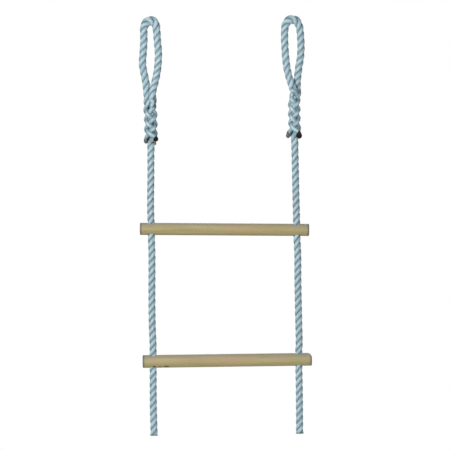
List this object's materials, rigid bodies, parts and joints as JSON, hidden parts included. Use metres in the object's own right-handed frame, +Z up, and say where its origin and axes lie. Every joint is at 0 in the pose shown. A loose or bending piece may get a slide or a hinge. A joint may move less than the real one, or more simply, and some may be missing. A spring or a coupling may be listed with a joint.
{
  "type": "escape rope ladder",
  "caption": "Rope ladder with two laid ropes, a spliced hanging eye on each, and round wooden rungs threaded on the ropes.",
  "frame": {"origin": "inner crown of the left eye, where a hook bears, on the left rope's centre line", "axes": "+Z up along the ropes, +X along the rungs from the left rope to the right rope, +Y away from the viewer, through the eyes"},
  "size_m": [0.3893, 0.0363, 0.9585],
  "materials": {
    "rope_fibre": "satin pale blue-grey polypropylene, three-strand laid",
    "rung_wood": "unvarnished turned softwood dowel",
    "charred_tip": "melted and charred rope strand",
    "melted_rope_end": "heat-sealed rope end",
    "pin_steel": "bright steel nail"
  },
  "bodies": {
    "eyes": {"left_eye_rope": "rope_fibre", "left_tucked_strand_1": "rope_fibre", "left_tucked_strand_2": "rope_fibre", "left_tucked_strand_3": "rope_fibre", "left_strand_tip_1": "charred_tip", "left_strand_tip_2": "charred_tip", "left_strand_tip_3": "charred_tip", "left_rope_below_splice": "rope_fibre", "right_eye_rope": "rope_fibre", "right_tucked_strand_1": "rope_fibre", "right_tucked_strand_2": "rope_fibre", "right_tucked_strand_3": "rope_fibre", "right_strand_tip_1": "charred_tip", "right_strand_tip_2": "charred_tip", "right_strand_tip_3": "charred_tip", "right_rope_below_splice": "rope_fibre"},
    "top_necks": {"left_top_neck": "rope_fibre", "right_top_neck": "rope_fibre"},
    "left_upper_rope": {"left_upper_span": "rope_fibre"},
    "right_upper_rope_top": {"right_upper_span_top": "rope_fibre"},
    "right_upper_rope_bottom": {"right_upper_span_bottom": "rope_fibre"},
    "upper_rung_necks": {"left_neck_above_upper_rung": "rope_fibre", "right_neck_above_upper_rung": "rope_fibre"},
    "upper_rung_assembly": {"upper_rung": "rung_wood", "left_rope_in_upper_rung": "rope_fibre", "right_rope_in_upper_rung": "rope_fibre", "upper_rung_pins": "pin_steel"},
    "middle_necks": {"left_neck_below_upper_rung": "rope_fibre", "right_neck_below_upper_rung": "rope_fibre"},
    "left_middle_rope": {"left_middle_span": "rope_fibre"},
    "right_middle_rope_top": {"right_middle_span_top": "rope_fibre"},
    "right_middle_rope_bottom": {"right_middle_span_bottom": "rope_fibre"},
    "lower_rung_necks": {"left_neck_above_lower_rung": "rope_fibre", "right_neck_above_lower_rung": "rope_fibre"},
    "lower_rung_assembly": {"lower_rung": "rung_wood", "left_rope_in_lower_rung": "rope_fibre", "right_rope_in_lower_rung": "rope_fibre", "lower_rung_pins": "pin_steel"},
    "left_tail_neck_body": {"left_tail_neck": "rope_fibre"},
    "right_tail_neck_body": {"right_tail_neck": "rope_fibre"},
    "left_tail_rope": {"left_tail": "rope_fibre", "left_tail_seal": "melted_rope_end"},
    "right_tail_rope": {"right_tail": "rope_fibre", "right_tail_seal": "melted_rope_end"}
  },
  "joints": [
    {"name": "ladder_swing", "type": "hinge", "parent": "eyes", "child": "top_necks", "pos_m": [0.1665, 0, -0.296], "axis": [1, 0, 0], "range_deg": [-60, 60]},
    {"name": "upper_bay_sway", "type": "hinge", "parent": "top_necks", "child": "left_upper_rope", "pos_m": [0, 0, -0.331], "axis": [0, 1, 0], "range_deg": [-25, 25]},
    {"name": "right_upper_rope_sway", "type": "hinge", "parent": "top_necks", "child": "right_upper_rope_top", "pos_m": [0.333, 0, -0.331], "axis": [0, 1, 0], "range_deg": [-25, 25]},
    {"name": "upper_rung_level", "type": "hinge", "parent": "left_upper_rope", "child": "upper_rung_necks", "pos_m": [0, 0, -0.403], "axis": [0, 1, 0], "range_deg": [-25, 25]},
    {"name": "right_upper_rope_foot", "type": "hinge", "parent": "upper_rung_necks", "child": "right_upper_rope_bottom", "pos_m": [0.333, 0, -0.403], "axis": [0, 1, 0], "range_deg": [-25, 25]},
    {"name": "upper_rung_fold_above", "type": "hinge", "parent": "upper_rung_necks", "child": "upper_rung_assembly", "pos_m": [0.1665, 0, -0.438], "axis": [-1, 0, 0], "range_deg": [-90, 90]},
    {"name": "upper_rung_fold_below", "type": "hinge", "parent": "upper_rung_assembly", "child": "middle_necks", "pos_m": [0.1665, 0, -0.498], "axis": [-1, 0, 0], "range_deg": [-90, 90]},
    {"name": "middle_bay_sway", "type": "hinge", "parent": "middle_necks", "child": "left_middle_rope", "pos_m": [0, 0, -0.533], "axis": [0, 1, 0], "range_deg": [-25, 25]},
    {"name": "right_middle_rope_sway", "type": "hinge", "parent": "middle_necks", "child": "right_middle_rope_top", "pos_m": [0.333, 0, -0.533], "axis": [0, 1, 0], "range_deg": [-25, 25]},
    {"name": "lower_rung_level", "type": "hinge", "parent": "left_middle_rope", "child": "lower_rung_necks", "pos_m": [0, 0, -0.703], "axis": [0, 1, 0], "range_deg": [-25, 25]},
    {"name": "right_middle_rope_foot", "type": "hinge", "parent": "lower_rung_necks", "child": "right_middle_rope_bottom", "pos_m": [0.333, 0, -0.703], "axis": [0, 1, 0], "range_deg": [-25, 25]},
    {"name": "lower_rung_fold", "type": "hinge", "parent": "lower_rung_necks", "child": "lower_rung_assembly", "pos_m": [0.1665, 0, -0.738], "axis": [1, 0, 0], "range_deg": [-90, 90]},
    {"name": "left_tail_fold", "type": "hinge", "parent": "lower_rung_assembly", "child": "left_tail_neck_body", "pos_m": [0, 0, -0.798], "axis": [1, 0, 0], "range_deg": [-90, 90]},
    {"name": "right_tail_fold", "type": "hinge", "parent": "lower_rung_assembly", "child": "right_tail_neck_body", "pos_m": [0.333, 0, -0.798], "axis": [1, 0, 0], "range_deg": [-90, 90]},
    {"name": "left_tail_sway", "type": "hinge", "parent": "left_tail_neck_body", "child": "left_tail_rope", "pos_m": [0, 0, -0.833], "axis": [0, 1, 0], "range_deg": [-60, 60]},
    {"name": "right_tail_sway", "type": "hinge", "parent": "right_tail_neck_body", "child": "right_tail_rope", "pos_m": [0.333, 0, -0.833], "axis": [0, 1, 0], "range_deg": [-60, 60]}
  ],
  "couplings": [
    {"joint": "right_upper_rope_sway", "follows": "upper_bay_sway", "ratio": 1},
    {"joint": "upper_rung_level", "follows": "upper_bay_sway", "ratio": -1},
    {"joint": "right_upper_rope_foot", "follows": "upper_bay_sway", "ratio": 1},
    {"joint": "right_middle_rope_sway", "follows": "middle_bay_sway", "ratio": 1},
    {"joint": "lower_rung_level", "follows": "middle_bay_sway", "ratio": -1},
    {"joint": "right_middle_rope_foot", "follows": "middle_bay_sway", "ratio": 1}
  ]
}
